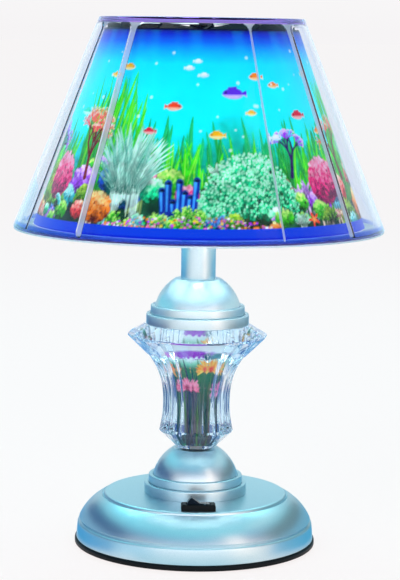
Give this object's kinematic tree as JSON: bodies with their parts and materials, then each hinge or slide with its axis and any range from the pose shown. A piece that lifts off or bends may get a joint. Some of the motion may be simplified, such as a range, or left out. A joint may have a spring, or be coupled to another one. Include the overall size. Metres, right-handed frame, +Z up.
{
  "type": "table lamp",
  "caption": "Table lamp with a clear ribbed shade over a picture drum that turns in the lamp's warm air, a faceted vase stem between domes and a round base with a rocker switch.",
  "frame": {"origin": "centre of the base on the table surface, under the stem", "axes": "+Z up along the stem, -Y towards the front with the rocker switch, +X to the right seen from the front"},
  "size_m": [0.2728, 0.2728, 0.39],
  "materials": {
    "silver_paint": "satin silver-blue metallic paint on moulded ABS",
    "black_abs": "satin moulded black ABS",
    "black_gloss": "glossy moulded black",
    "black_rubber": "matte rubber",
    "felt": "pressed wool felt",
    "zinc_steel": "bright zinc plate",
    "raw_steel": "bare rolled steel",
    "brass": "bare brass",
    "ivory_nylon": "moulded nylon",
    "white_bakelite": "moulded white phenolic",
    "brown_pvc": "smooth PVC sleeve",
    "blue_pvc": "smooth PVC sleeve",
    "clear_acrylic": "clear moulded acrylic",
    "printed_card": "printed film, rolled",
    "printed_film": "printed translucent film",
    "blue_plastic": "moulded hoop",
    "black_aluminium": "pressed sheet, painted black",
    "aluminium": "bare sheet",
    "opal_glass": "opal glass"
  },
  "bodies": {
    "lamp": {"base_felt": "felt", "bottom_plate": "black_abs", "plate_screws": "zinc_steel", "base_cover": "silver_paint", "ballast_disc": "raw_steel", "lock_washer": "zinc_steel", "lower_nut": "zinc_steel", "cord_grommet": "black_rubber", "terminal_block": "ivory_nylon", "lead_live": "brown_pvc", "lead_neutral": "blue_pvc", "lead_switch": "brown_pvc", "switch_body": "black_abs", "switch_terminals": "brass", "lower_dome": "silver_paint", "vase_gasket": "black_rubber", "crystal_vase": "clear_acrylic", "vase_picture": "printed_card", "clamp_disc": "zinc_steel", "upper_nut": "zinc_steel", "upper_dome": "silver_paint", "stem_rod": "zinc_steel", "neck_tube": "silver_paint", "shade_carrier": "clear_acrylic", "outer_shade": "clear_acrylic", "lampholder": "white_bakelite", "lampholder_contact": "brass", "bulb_cap": "aluminium", "bulb_glass": "opal_glass", "needle_bracket": "zinc_steel", "needle": "raw_steel"},
    "rocker": {"switch_rocker": "black_gloss", "switch_plunger": "ivory_nylon"},
    "contact_lever": {"switch_lever": "brass"},
    "drum": {"bearing_cup": "brass", "drum_rotor": "black_aluminium", "drum_film": "printed_film", "drum_hoop": "blue_plastic"}
  },
  "joints": [
    {"name": "rocker_tilt", "type": "hinge", "parent": "lamp", "child": "rocker", "pos_m": [0, -0.05825, 0.0406], "axis": [0, -1, 0], "range_deg": [0, 40]},
    {"name": "lever_tilt", "type": "hinge", "parent": "lamp", "child": "contact_lever", "pos_m": [0, -0.05825, 0.0256], "axis": [0, 1, 0], "range_deg": [0, 24]},
    {"name": "drum_spin", "type": "hinge", "parent": "lamp", "child": "drum", "pos_m": [0, 0, 0.3823], "axis": [0, 0, 1], "continuous": true}
  ],
  "couplings": [
    {"joint": "lever_tilt", "follows": "rocker_tilt", "ratio": 0.6}
  ]
}
